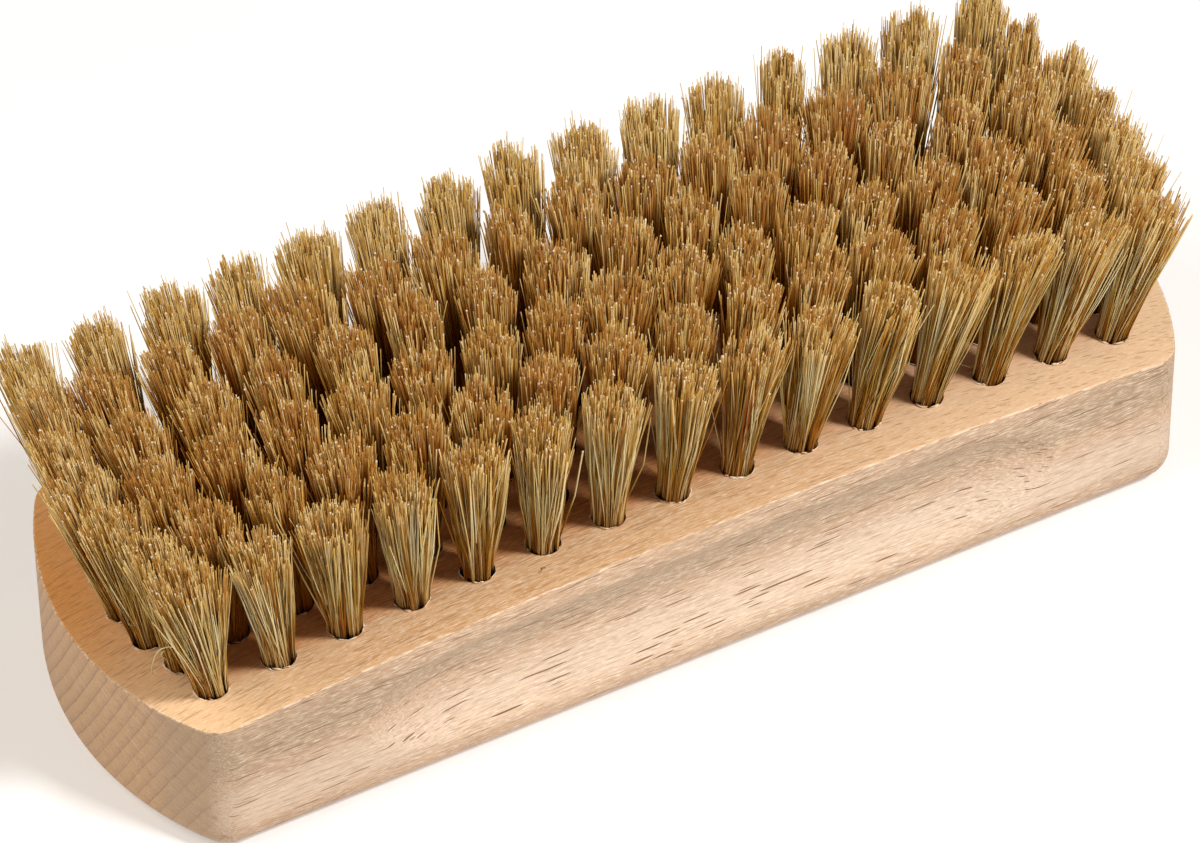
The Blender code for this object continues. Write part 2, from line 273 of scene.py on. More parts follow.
def groove_depth(x, z):
    """Depth of the finger groove: a round trough of GROOVE_HEIGHT across, whose ends rise out of the wood
    along a stretched ball, with its rim softened by the root of a square sum."""
    half_height = GROOVE_HEIGHT / 2
    radius = (half_height**2 + GROOVE_DEPTH**2) / (2 * GROOVE_DEPTH)
    straight = GROOVE_LENGTH / 2 - GROOVE_RUNOUT
    along = np.maximum(np.abs(x - GROOVE_SHIFT) - straight, 0) * half_height / GROOVE_RUNOUT
    inside = np.maximum(radius**2 - along**2 - (z - GROOVE_LEVEL) ** 2, 0)
    depth = np.sqrt(inside) - (radius - GROOVE_DEPTH)
    soft = (depth + np.sqrt(depth**2 + GROOVE_SOFTNESS**2)) / 2
    return np.where(depth < -8 * GROOVE_SOFTNESS, 0, soft)


def block_surface():
    """Rings round the outline: the flat back from its middle line, a quarter round, the sides with the groove
    pressed in, a small quarter round, and the bowed face to its middle line."""
    edge = outline(0)
    around = len(edge)
    middle = np.stack([np.clip(edge[:, 0], -0.052, 0.052), np.zeros(around)], 1)
    rings = []
    back = outline(BACK_ROUNDING)
    for share in (0, 0.5, 0.9):
        flat = middle + (back - middle) * share
        rings.append(np.column_stack([flat, np.zeros(around)]))
    for angle in np.linspace(0, math.pi / 2, 9)[:-1]:
        ring = outline(BACK_ROUNDING * (1 - math.sin(angle)))
        rings.append(np.column_stack([ring, np.full(around, BACK_ROUNDING * (1 - math.cos(angle)))]))
    top = face_height(edge[:, 0]) - EDGE_ROUNDING
    for share in np.linspace(0, 1, 47):
        z = BACK_ROUNDING + (top - BACK_ROUNDING) * share
        on_side = np.abs(edge[:, 1]) > BLOCK_WIDTH / 2 - 1e-6
        depth = np.where(on_side, groove_depth(edge[:, 0], z), 0)
        rings.append(np.column_stack([edge[:, 0], edge[:, 1] - np.sign(edge[:, 1]) * depth, z]))
    for angle in np.linspace(0, math.pi / 2, 5)[1:]:
        ring = outline(EDGE_ROUNDING * (1 - math.cos(angle)))
        z = face_height(ring[:, 0]) - EDGE_ROUNDING * (1 - math.sin(angle))
        rings.append(np.column_stack([ring, z]))
    face = outline(EDGE_ROUNDING)
    for share in (0.02, 0.15, 0.4, 0.7, 1):
        flat = face + (middle - face) * share
        rings.append(np.column_stack([flat, face_height(flat[:, 0])]))
    return np.concatenate(rings), ring_faces(len(rings), around)


class Field:
    """The tufts of one node: arrays of the holes' places, the leans of their axes, the spread of the heads,
    the share of pale hairs, the tone of the others, how their tone deepens to the face as painted shade, and
    the length that a tuft stands over the rest."""

    def __init__(self, x, y, kind, lean=0.0, trim=0.0):
        self.x = np.asarray(x) + FIELD_SHIFT
        self.y = np.asarray(y) + np.zeros(len(self.x))
        self.level = face_height(self.x)
        self.lean_x = (FAN_X * np.asarray(x) + FIELD_LEAN + lean) / TRIM_HEIGHT
        self.lean_y = FAN_Y * self.y / TRIM_HEIGHT
        wider = LEFT_HEADS_WIDER * np.clip(-self.x / LEFT_HEADS_REACH - 0.5, 0, 1)
        self.head = kind["head"] * np.where(self.y < OUTER_ROW_Y, 1 + wider, 1)
        self.pale = kind["pale"] + np.zeros(len(self.x))
        self.base = kind["base"]
        self.painted_shade_to_face = kind["painted_shade_to_face"]
        self.trim = trim + np.zeros(len(self.x))


def row(y, count, reach, shift=0.0, lean=0.0, trim=0.0):
    kind = {-OUTER_ROW_Y: FRONT_TUFTS, OUTER_ROW_Y: BACK_TUFTS}.get(y, INNER_TUFTS)
    return Field(shift + np.linspace(-reach, reach, count), y, kind, lean, trim)


def end_arc(side):
    place = np.arange(-2, 3)
    return Field(side * (END_HOLE_REACH - END_HOLE_BOW * (place / 2) ** 2), END_HOLE_SPACING * place,
                 END_TUFTS)


def hole_tubes(fields, chance):
    """Leaning tubes that cut the holes: circles carried along each tuft's axis, a little uneven, and flared
    by a tenth of a millimetre at the face where the drill has torn the fibres."""
    sides = 26
    heights = np.array([-HOLE_DEPTH, -0.0004, 0.0001, 0.003])
    widths = np.array([1.0, 1.0, 1.045, 1.045])
    points = []
    loops = []
    starts = []
    turn = np.arange(sides) * 2 * math.pi / sides
    shell = ring_faces(len(heights), sides)[:, ::-1]
    count = 0
    for field in fields:
        for x, y, level, lean_x, lean_y in zip(field.x, field.y, field.level, field.lean_x, field.lean_y):
            radius = HOLE_RADIUS * widths[:, None] * (1 + 0.012 * chance.standard_normal(sides))
            tube = np.stack([x + lean_x * heights[:, None] + radius * np.cos(turn),
                             y + lean_y * heights[:, None] + radius * np.sin(turn),
                             np.repeat((level + heights)[:, None], sides, 1)], -1).reshape(-1, 3)
            first = count * len(tube)
            points.append(tube)
            start = sum(len(part) for part in loops)
            faces = shell + first
            bottom = first + np.arange(sides)[::-1]
            top = first + (len(heights) - 1) * sides + np.arange(sides)
            loops.append(np.concatenate([faces.ravel(), bottom, top]))
            starts.append(start + np.concatenate([np.arange(len(faces)) * 4, [4 * len(faces)],
                                                  [4 * len(faces) + sides]]))
            count += 1
    return np.concatenate(points), np.concatenate(loops), np.concatenate(starts)


def close_seams(mesh, distance):
    """Merges the points that meet in a seam or a pole, and drops the faces that have no area left."""
    bm = bmesh.new()
    bm.from_mesh(mesh)
    bmesh.ops.remove_doubles(bm, verts=bm.verts, dist=distance)
    bmesh.ops.dissolve_degenerate(bm, edges=bm.edges, dist=1e-7)
    bm.to_mesh(mesh)
    bm.free()


def beech_block(fields, material, chance):
    """The block's surface with the holes cut out of it."""
    points, faces = block_surface()
    block = mesh_object("beech_block", points, faces.ravel(), np.arange(len(faces)) * 4, material)
    close_seams(block.data, 1e-6)
    tubes = mesh_object("hole_tubes", *hole_tubes(fields, chance), material)
    cut = block.modifiers.new("holes", "BOOLEAN")
    cut.operation = "DIFFERENCE"
    cut.object = tubes
    cut.solver = "EXACT"
    graph = bpy.context.evaluated_depsgraph_get()
    drilled = bpy.data.meshes.new_from_object(block.evaluated_get(graph))
    block.modifiers.clear()
    block.data = drilled
    bpy.data.objects.remove(tubes, do_unlink=True)
    drilled.polygons.foreach_set("use_smooth", np.ones(len(drilled.polygons), bool))
    drilled.set_sharp_from_angle(angle=math.radians(38))
    return block


# Bristles


def strand_mesh(name, paths, radii, tone, along, material, bright, side=(1.0, 0.0, 0.0), cream=0):
    """Strands as three-sided tubes: paths is (strands, knots, 3), radii and tone (strands, knots), along
    (knots). A ring stands square to the path at each knot: its first axis is the side direction less its
    share along the path, its second the cross product of the two. The map OFBake holds a strand's tone across
    and the way from root to tip up, and the cut end lies at its very top if it is bright. The last strands,
    as many as cream says, are cut ends as a whole."""
    strands, knots, _ = paths.shape
    side = np.asarray(side, float).reshape(-1, 1, 3)
    way = np.gradient(paths, axis=1)
    way = way / np.linalg.norm(way, axis=-1, keepdims=True)
    first = side - way * np.sum(way * side, -1, keepdims=True)
    first = first / np.linalg.norm(first, axis=-1, keepdims=True)
    second = np.cross(way, first)
    turn = ((np.arange(3) * 2 * math.pi / 3)[None, :] + 2.4 * np.arange(strands)[:, None])[:, None, :, None]
    around = np.cos(turn) * first[:, :, None, :] + np.sin(turn) * second[:, :, None, :]
    points = (paths[:, :, None, :] + radii[:, :, None, None] * around).reshape(-1, 3)
    knot, corner = np.meshgrid(np.arange(knots - 1), np.arange(3), indexing="ij")
    knot = knot.ravel()
    corner = corner.ravel()
    after = (corner + 1) % 3
    quads = np.stack([knot * 3 + corner, knot * 3 + after,
                      (knot + 1) * 3 + after, (knot + 1) * 3 + corner], -1)
    top = (knots - 1) * 3
    one = np.concatenate([quads.ravel(), [0, 2, 1], [top, top + 1, top + 2]])
    loops = one[None, :] + (np.arange(strands) * knots * 3)[:, None]
    one_start = np.concatenate([np.arange(len(quads)) * 4, [len(quads) * 4, len(quads) * 4 + 3]])
    starts = one_start[None, :] + (np.arange(strands) * len(one))[:, None]
    obj = mesh_object(name, points, loops.ravel(), starts.ravel(), material)
    across = np.stack([corner / 3, (corner + 1) / 3, (corner + 1) / 3, corner / 3], -1).ravel()
    across = np.concatenate([across, [0, 0.5, 1], [0, 0.5, 1]])
    level = np.concatenate([np.stack([knot, knot, knot + 1, knot + 1], -1).ravel(), [0] * 3, [knots - 1] * 3])
    upward = 0.97 * along[level]
    upward[-6:] = 0, 0.01, 0, 0.98, 1.0, 0.98
    u = 0.994 * tone[:, level] + 0.006 * across[None, :]
    v = np.repeat(upward[None, :], strands, 0)
    # Bright and cream cut ends take the cream at the top of the map: partly a painted highlight
    v[bright[:, None] & (level == knots - 1)[None, :] & (upward == 0.97)[None, :]] = 0.985
    v[~bright, -3:] = 0.945, 0.955, 0.945
    v[strands - cream:] = 0.985
    layer = obj.data.uv_layers.new(name="OFBake")
    layer.data.foreach_set("uv", np.stack([u, v], -1).ravel().astype(np.float32))
    return obj


def scatter(chance, shape):
    """Normal steps to the side and back, as complex numbers."""
    return chance.standard_normal(shape) + 1j * chance.standard_normal(shape)


def of_group(values, member):
    """For each hair the value of the strip or lock that it belongs to."""
    return np.take_along_axis(values, member, 1)


def packed_bundle(tufts, hairs, turn, chance):
    """Places in the hole on a sunflower spiral, a little disturbed and kept within the unit circle."""
    order = (np.arange(hairs) + 0.5) / hairs
    packed = np.sqrt(order)[None, :] * np.exp(1j * (GOLDEN_ANGLE * np.arange(hairs)[None, :] + turn))
    packed = packed + PACKING_SPREAD * scatter(chance, (tufts, hairs))
    return packed / np.maximum(np.abs(packed), 1)


def head_places(field, packed, strip, strips, turn, chance):
    """Where the hairs end, in metres across the tuft's axis. Chance moves each hair and each strip, the place
    is drawn towards the nearest of a few locks, the head is stretched, the place swings round the axis, and
    strays are set outwards. Given with it: the way to the axis in parts of the head, the wild hairs, the
    strays and the lock of each hair."""
    tufts = len(packed)
    wild = chance.random(packed.shape) < WILD_SHARE
    head = field.head[:, None] * (1 + HEAD_SIZE_SPREAD * chance.standard_normal((tufts, 1)))
    place = np.arange(LOCKS_IN_TUFT)
    ring = np.where(place == 0, 0.0, np.where(place % 2 == 0, *LOCK_RINGS))
    locks = ring[None, :] * np.exp(1j * (GOLDEN_ANGLE * place[None, :] * LOCK_TURN + turn))
    locks = locks + LOCK_SPREAD * scatter(chance, locks.shape)
    stretch = 1 + HEAD_STRETCH_SPREAD * chance.standard_normal((tufts, 2))
    free = packed + np.where(wild, WILD_SPREAD, TAME_SPREAD) * scatter(chance, packed.shape)
    splay = np.where(chance.random(strips) < SPLAYED_SHARE, SPLAYED_SPREAD, STRIP_SPREAD)
    free = free + of_group(splay * scatter(chance, strips), strip)
    free = free / np.maximum(np.abs(free) / HEAD_EDGE, 1)
    nearest = np.abs(free[:, :, None] - locks[:, None, :]).argmin(-1)
    pull = chance.uniform(*TUFT_PULL, (tufts, 1)) * chance.uniform(*HAIR_PULL, free.shape)
    tip = free + (of_group(locks, nearest) - free) * pull
    tip = tip.real * stretch[:, :1] + 1j * tip.imag * stretch[:, 1:]
    reach = np.abs(tip)
    swing = (np.where(np.abs(packed) > SWING_EDGE, OUTER_SWING, INNER_SWING)
             * chance.standard_normal(tip.shape))
    swing = swing + of_group(STRIP_SWING * chance.standard_normal(strips), strip)
    tip = tip * head * np.exp(1j * swing)
    stray = chance.random(tip.shape) < STRAY_SHARE
    outward = np.exp(1j * (np.angle(tip) + STRAY_TURN * chance.standard_normal(tip.shape)))
    tip = tip + np.where(stray, chance.uniform(*STRAY_REACH, tip.shape), 0) * outward
    return tip, reach, wild, stray, nearest


def tuft_paths(field, hairs, chance):
    """Paths of all hairs of a node's tufts, as (tufts * hairs, knots, 3). A hair starts at its place in the
    packed bundle and spreads along a power curve to its place in the head, while half sines bow lock and
    hair. Given with them: the knots' shares of the length, how far out in the bundle each hair is, a chance
    number for its strip, and whether it stands apart."""
    tufts = len(field.x)
    turn = chance.uniform(0, 2 * math.pi, (tufts, 1))
    packed = packed_bundle(tufts, hairs, turn, chance)
    middles = packed[:, ::STRIP_HAIRS]
    strips = middles.shape
    strip = np.abs(packed[:, :, None] - middles[:, None, :]).argmin(-1)
    tip, reach, wild, stray, nearest = head_places(field, packed, strip, strips, turn, chance)
    locks = (tufts, LOCKS_IN_TUFT)
    bow = of_group(LOCK_BOW * scatter(chance, locks), nearest)
    bow = bow + HAIR_BOW * scatter(chance, tip.shape) * np.where(stray, STRAY_BOW, 1.0)
    lock_height = LOCK_HEIGHT_SPREAD * chance.standard_normal(locks)
    strip_tone = of_group(chance.standard_normal(strips), strip)
    length = TRIM_HEIGHT + field.trim[:, None] + of_group(lock_height, nearest)
    length = length + LENGTH_SPREAD * chance.standard_normal(tip.shape) - DOME * reach**2
    length = np.minimum(length, TRIM_HEIGHT + LENGTH_EXCESS + field.trim[:, None])
    short = chance.random(tip.shape) < SHORT_SHARE
    length = length - np.where(short, SHORT_BY * chance.random(tip.shape) ** SHORT_POWER, 0)
    share = np.append(-HAIR_SINK / TRIM_HEIGHT, HAIR_KNOTS)
    rise = share * length[:, :, None]
    flare = np.maximum(rise, 0) / TRIM_HEIGHT
    root = packed + of_group(ROOT_SPREAD * scatter(chance, strips), strip)
    root = (root / np.maximum(np.abs(root) / BUNDLE_EDGE, 1))[:, :, None] * BUNDLE_RADIUS
    bend = chance.uniform(*BEND, tip.shape)
    way = root + (tip[:, :, None] - root) * flare ** bend[:, :, None]
    way = way + bow[:, :, None] * np.sin(math.pi * np.clip(flare, 0, 1))
    x = field.x[:, None, None] + field.lean_x[:, None, None] * rise + way.real
    y = field.y[:, None, None] + field.lean_y[:, None, None] * rise + way.imag
    x = END_LIMIT * np.clip(x / END_LIMIT, -1, 1)
    y = SIDE_LIMIT * np.clip(y / SIDE_LIMIT, -1, 1)
    paths = np.stack([x, y, field.level[:, None, None] + rise], -1)
    outer = np.clip((np.abs(packed) - OUTER_HAIRS) / OUTER_HAIRS_DEPTH, 0, 1)
    return (paths.reshape(tufts * hairs, len(share), 3), np.maximum(share, 0), outer.ravel(),
            strip_tone.ravel(), (wild | stray).ravel())


def hair_tones(field, share, outer, strip_tone, apart, chance):
    """Which hairs are pale, and each hair's thickness and its tone at each knot: that of its kind, tuft,
    strip and own, paler on the outer hairs as painted light, deeper towards the face as painted shade, with
    more chance in it there, and dark at the face on a share of hairs as painted shade."""
    hairs = len(outer)
    thickness = HAIR_RADIUS * np.exp(THICKNESS_SPREAD * chance.standard_normal(hairs))
    tuft_tone = np.repeat(TUFT_TONE_SPREAD * chance.standard_normal(len(field.x)), HAIRS_IN_TUFT)
    # Painted light: the outer hairs of a bundle are more often pale
    pale = np.repeat(field.pale, HAIRS_IN_TUFT) * (0.6 + 0.9 * outer) * np.exp(0.8 * strip_tone - 0.2)
    pale = chance.random(hairs) < np.where(apart, PALE_LEAST + pale, pale)
    thickness = thickness * np.where(pale, PALE_WIDER, PLAIN_WIDER)
    # painted light: the outer hairs get a paler tone
    tone = (field.base + TONE_SPREAD * outer + tuft_tone + TONE_SPREAD * strip_tone
            + TONE_SPREAD * chance.standard_normal(hairs))
    pale_tone = PALE_TONE + PALE_STRIP_SPREAD * strip_tone + TONE_SPREAD * chance.standard_normal(hairs)
    tone = np.where(pale, pale_tone, tone)
    radii = thickness[:, None] * HAIR_PROFILE[None, :]
    radii[:, :2] *= np.where(chance.random((hairs, 1)) < THIN_ROOT_SHARE, THIN_ROOT, 1.0)
    # Painted shade: the tone falls towards the face by the kind's share
    tone = tone[:, None] - field.painted_shade_to_face * (1 - share)[None, :]
    tone = tone + ROOT_TONE_SPREAD * chance.standard_normal((hairs, 1)) * (1 - share)[None, :] ** 2
    tone = np.clip(tone, TONE_LIMITS[0], TONE_LIMITS[1] - ROOT_TONE_FALL * (1 - share)[None, :])
    # painted shade: a share of hairs dark at the face
    tone[chance.random(hairs) < DARK_ROOT_SHARE, :2] = 0.0
    tone[chance.random(hairs) < BLACK_SHARE] = BLACK_TONE
    return radii, tone


def bristle_tufts(name, field, material, chance):
    """All hairs of a node, and after them the blunt cut ends that stand out of the heads: short thick strands
    on the tips of a few hairs, cream as the paler cut section and partly as a painted highlight."""
    tufts = len(field.x)
    paths, share, outer, strip_tone, apart = tuft_paths(field, HAIRS_IN_TUFT, chance)
    radii, tone = hair_tones(field, share, outer, strip_tone, apart, chance)
    bright = chance.random(len(paths)) < BRIGHT_END_SHARE
    radii[bright, -1] *= BRIGHT_END_WIDER
    chosen = (np.arange(tufts)[:, None] * HAIRS_IN_TUFT
              + chance.integers(0, HAIRS_IN_TUFT, (tufts, CUT_ENDS_IN_TUFT))).ravel()
    way = paths[chosen, -1] - paths[chosen, -2]
    way = way / np.linalg.norm(way, axis=-1, keepdims=True)
    along = CUT_END_KNOTS * CUT_END_LENGTH
    ends = paths[chosen, -1][:, None, :] + along[None, :, None] * way[:, None, :]
    thickness = CUT_END_RADIUS * np.exp(0.2 * chance.standard_normal(len(chosen)))
    return strand_mesh(name, np.concatenate([paths, ends]),
                       np.concatenate([radii, thickness[:, None] * CUT_END_PROFILE]),
                       np.concatenate([tone, np.full((len(chosen), len(share)), CREAM_TONE)]),
                       share, material, np.concatenate([bright, np.ones(len(chosen), bool)]),
                       cream=len(chosen))


def smooth_path(points, knots):
    """A path of so many knots through points: from one point to the next it follows the cubic whose slopes at
    its ends are half the step between the neighbours of each."""
    points = np.asarray(points, float)
    padded = np.concatenate([points[:1], points, points[-1:]])
    where = np.linspace(0, len(points) - 1, knots)
    piece = np.minimum(where.astype(int), len(points) - 2)
    t = (where - piece)[:, None]
    before, start, end, after = (padded[piece + step] for step in range(4))
    return (2 * start + (end - before) * t + (2 * before - 5 * start + 4 * end - after) * t**2
            + (3 * start - before - 3 * end + after) * t**3) / 2


def loose_bristles(material):
    """The single bristles that have come loose from their tufts, as tubes of many knots on smooth paths."""
    knots = 24
    paths = np.stack([smooth_path(points, knots) for points, _, _ in LOOSE_BRISTLES]) / 1000
    thick = np.array([radius for _, radius, _ in LOOSE_BRISTLES])
    radii = thick[:, None] * np.linspace(1.0, 0.75, knots)[None, :]
    tone = np.repeat([[tone] for _, _, tone in LOOSE_BRISTLES], knots, 1)
    chord = paths[:, -1] - paths[:, 0]
    middle = paths[:, knots // 2] - paths[:, 0]
    side = np.cross(chord, middle) + np.array([1e-7, 2e-7, 0])
    bright = np.ones(len(paths), bool)
    return strand_mesh("loose_bristles", paths, radii, tone, np.linspace(0.45, 1, knots), material,
                       bright, side)


def torn_fibres(fields, material, chance):
    """Fibres that the drill has torn up round the holes: slivers that follow the rim of a hole for part of a
    turn, drift outwards and rise over a half sine, most of them on the side towards the front left."""
    x = np.concatenate([field.x for field in fields])
    y = np.concatenate([field.y for field in fields])
    hole = np.repeat(np.arange(len(x)), FIBRES_AT_HOLE)
    fibres = len(hole)
    share = np.linspace(0, 1, 5)[None, :]
    heading = FIBRE_HEADING + 1.15 * chance.standard_normal(fibres)
    sweep = chance.uniform(0.15, 0.75, fibres) * np.where(chance.random(fibres) < 0.5, 1, -1)
    angle = heading[:, None] + sweep[:, None] * (share - 0.5)
    drift = chance.uniform(-0.00003, 0.00045, fibres) * (chance.random(fibres) ** 1.5)
    radius = 1.035 * HOLE_RADIUS + drift[:, None] * share + 0.00003
    px = x[hole][:, None] + radius * np.cos(angle)
    py = y[hole][:, None] + radius * np.sin(angle)
    lift = 0.00002 + chance.uniform(0, 0.00030, fibres)[:, None] * np.sin(0.6 * math.pi * share)
    paths = np.stack([px, py, face_height(px) + lift], -1)
    thickness = FIBRE_RADIUS * np.exp(0.35 * chance.standard_normal(fibres))
    radii = thickness[:, None] * FIBRE_PROFILE[None, :]
    bright = np.zeros(fibres, bool)
    tone = np.repeat(chance.random((fibres, 1)), share.shape[1], 1)
    return strand_mesh("torn_fibres", paths, radii, tone, share[0], material, bright, (0.0, 0.0, 1.0))


# Shader nodes


class Wire:
    """One output of a node. An expression on wires and numbers adds the Math nodes that work it out."""

    def __init__(self, tree, socket):
        self.tree = tree
        self.socket = socket

    def math(self, operation, *others, clamp=False):
        return node(self.tree, "ShaderNodeMath", {"operation": operation, "use_clamp": clamp},
                    dict(enumerate((self, *others))))

    def __add__(self, other):
        return self.math("ADD", other)

    def __sub__(self, other):
        return self.math("SUBTRACT", other)

    def __mul__(self, other):
        return self.math("MULTIPLY", other)

    def __truediv__(self, other):
        return self.math("DIVIDE", other)

    def __pow__(self, other):
        return self.math("POWER", other)

    def __radd__(self, other):
        return self.math("ADD", other)

    def __rmul__(self, other):
        return self.math("MULTIPLY", other)

    def __rsub__(self, other):
        return node(self.tree, "ShaderNodeMath", {"operation": "SUBTRACT"}, {0: other, 1: self})

    def between(self, low, high, start=0.0, end=1.0):
        """A smooth step from start at low to end at high."""
        sockets = {"Value": self, "From Min": low, "From Max": high, "To Min": start, "To Max": end}
        return node(self.tree, "ShaderNodeMapRange", {"interpolation_type": "SMOOTHSTEP"}, sockets)


def node(tree, kind, settings, sockets, output=0):
    """Adds a node of this kind with its settings, then fills its sockets with numbers, colours or wires."""
    made = tree.nodes.new(kind)
    for name, value in settings.items():
        if name == "stops":
            ramp = made.color_ramp
            while len(ramp.elements) < len(value):
                ramp.elements.new(0.5)
            for element, (place, color) in zip(ramp.elements, value):
                element.position = place
                element.color = (*color, 1.0)
        else:
            setattr(made, name, value)
    for name, value in sockets.items():
        if isinstance(value, Wire):
            tree.links.new(value.socket, made.inputs[name])
        else:
            made.inputs[name].default_value = value
    return Wire(tree, made.outputs[output])


def new_finish(name):
    """A material, its tree, and its Principled shader with nothing linked to it."""
    material = bpy.data.materials.new(name)
    material.use_nodes = True
    tree = material.node_tree
    return material, tree, tree.nodes["Principled BSDF"]


def mix_colors(tree, share, first, second, blend="MIX"):
    """Colour between first and second, or first blended with second, by share."""
    def color(value):
        return value if isinstance(value, Wire) else (*value, 1.0)
    share_socket, first_socket, second_socket = 0, 6, 7
    sockets = {share_socket: share, first_socket: color(first), second_socket: color(second)}
    settings = {"data_type": "RGBA", "blend_type": blend, "clamp_factor": True}
    return node(tree, "ShaderNodeMix", settings, sockets, output=2)


def stretched(tree, place, scale):
    """The place multiplied by a scale for each axis."""
    return node(tree, "ShaderNodeVectorMath", {"operation": "MULTIPLY"}, {0: place, 1: scale})


def noise(tree, place, scale, detail=2.0, roughness=0.5):
    """Soft noise from 0 to 1 of a place multiplied by a scale for each axis."""
    sockets = {"Vector": stretched(tree, place, scale), "Scale": 1.0,
               "Detail": detail, "Roughness": roughness}
    return node(tree, "ShaderNodeTexNoise", {}, sockets)


def link(tree, wire, shader, name):
    tree.links.new(wire.socket, shader.inputs[name])


def layered(tree, color, layers):
    """Lays one tint after the other over a colour: each layer is a share, a tint and perhaps a way of
    blending."""
    for share, tint, *blend in layers:
        color = mix_colors(tree, share, color, tint, *blend)
    return color


def split_parts(tree, wire, kind="ShaderNodeSeparateXYZ", name="Vector"):
    """The three parts of a vector or colour, each as a wire."""
    return [node(tree, kind, {}, {name: wire}, output=part) for part in range(3)]


def ray_flecks(tree, around, x, radius, size, smallest, largest, widest=0.38):
    """Flecks of size millimetres round, along and away from the pith: cells whose middles are further inside
    than a width that each cell draws for itself between smallest and largest, in parts of a cell."""
    flat = node(tree, "ShaderNodeCombineXYZ", {}, {0: around / size[0], 1: x / size[1], 2: radius / size[2]})
    cell = {"voronoi_dimensions": "3D", "feature": "F1"}
    distance = node(tree, "ShaderNodeTexVoronoi", cell, {"Vector": flat, "Scale": 1.0})
    drawn = node(tree, "ShaderNodeTexVoronoi", cell, {"Vector": flat, "Scale": 1.0}, output="Color")
    chosen = split_parts(tree, drawn, "ShaderNodeSeparateColor", "Color")[0]
    width = chosen.between(smallest, largest, 0.0, widest)
    return (width - distance).between(0.0, 0.05)


def growth(tree, place, x, y, z):
    """Growth rings as far as they waver round the pith, which drifts along X: the way from the pith and the
    way round it, how far out in its ring a point lies, and a chance number for the ring's year."""
    behind = y - (PITH[0] + x * PITH_DRIFT[0])
    above = z - (PITH[1] + x * PITH_DRIFT[1])
    radius = (behind * behind + above * above) ** 0.5
    around = behind.math("ARCTAN2", above) * PITH_DISTANCE
    slow = noise(tree, place, (0.013, 0.02, 0.02), 1.0)
    quick = noise(tree, place, (0.035, 0.16, 0.16), 2.0)
    rings = (radius + (slow - 0.5) * SLOW_WAVER + (quick - 0.5) * QUICK_WAVER) / RING_WIDTH
    year = node(tree, "ShaderNodeTexWhiteNoise", {"noise_dimensions": "1D"}, {"W": rings.math("FLOOR")})
    return radius, around, rings.math("FRACT"), year


def pale_edge_slivers(tree, place, x, y, z):
    """Slivers along the edge between the bristle face and the sides or ends, a third of a millimetre wide."""
    half = 1000 * BLOCK_WIDTH / 2
    end_radius = (half**2 + (1000 * END_BULGE) ** 2) / (2000 * END_BULGE)
    height = 1000 * BLOCK_HEIGHT - 1000 * FACE_DROP * (x / (500 * BLOCK_LENGTH)) ** 2.0
    near_top = (z - height).between(-0.34, -0.08)
    side_edge = y.math("ABSOLUTE").between(half - 0.30, half - 0.10)
    end_x = x.math("ABSOLUTE") - (500 * BLOCK_LENGTH - end_radius)
    end_edge = (end_x * end_x + y * y) ** 0.5
    end_edge = end_edge.between(end_radius - 0.30, end_radius - 0.10) * x.math("ABSOLUTE").between(60.0, 66.0)
    edge = near_top * side_edge.math("MAXIMUM", end_edge)
    return edge * noise(tree, place, (0.45, 2.5, 2.5), 2.0).between(0.50, 0.60)


def burnished_corner(tree, place, x, y, face_up):
    """The side and end within a few millimetres of the front left corner, in patches."""
    corner_x = x - CORNER_PLACE[0]
    corner_y = y - CORNER_PLACE[1]
    corner = (corner_x * corner_x + corner_y * corner_y) ** 0.5
    burnish = corner.between(2.0, 8.5, 1.0, 0.0) * (1.0 - face_up)
    return burnish * noise(tree, place, (0.25, 0.5, 0.5), 3.0, 0.65).between(0.25, 0.60, 0.6, 1.0)


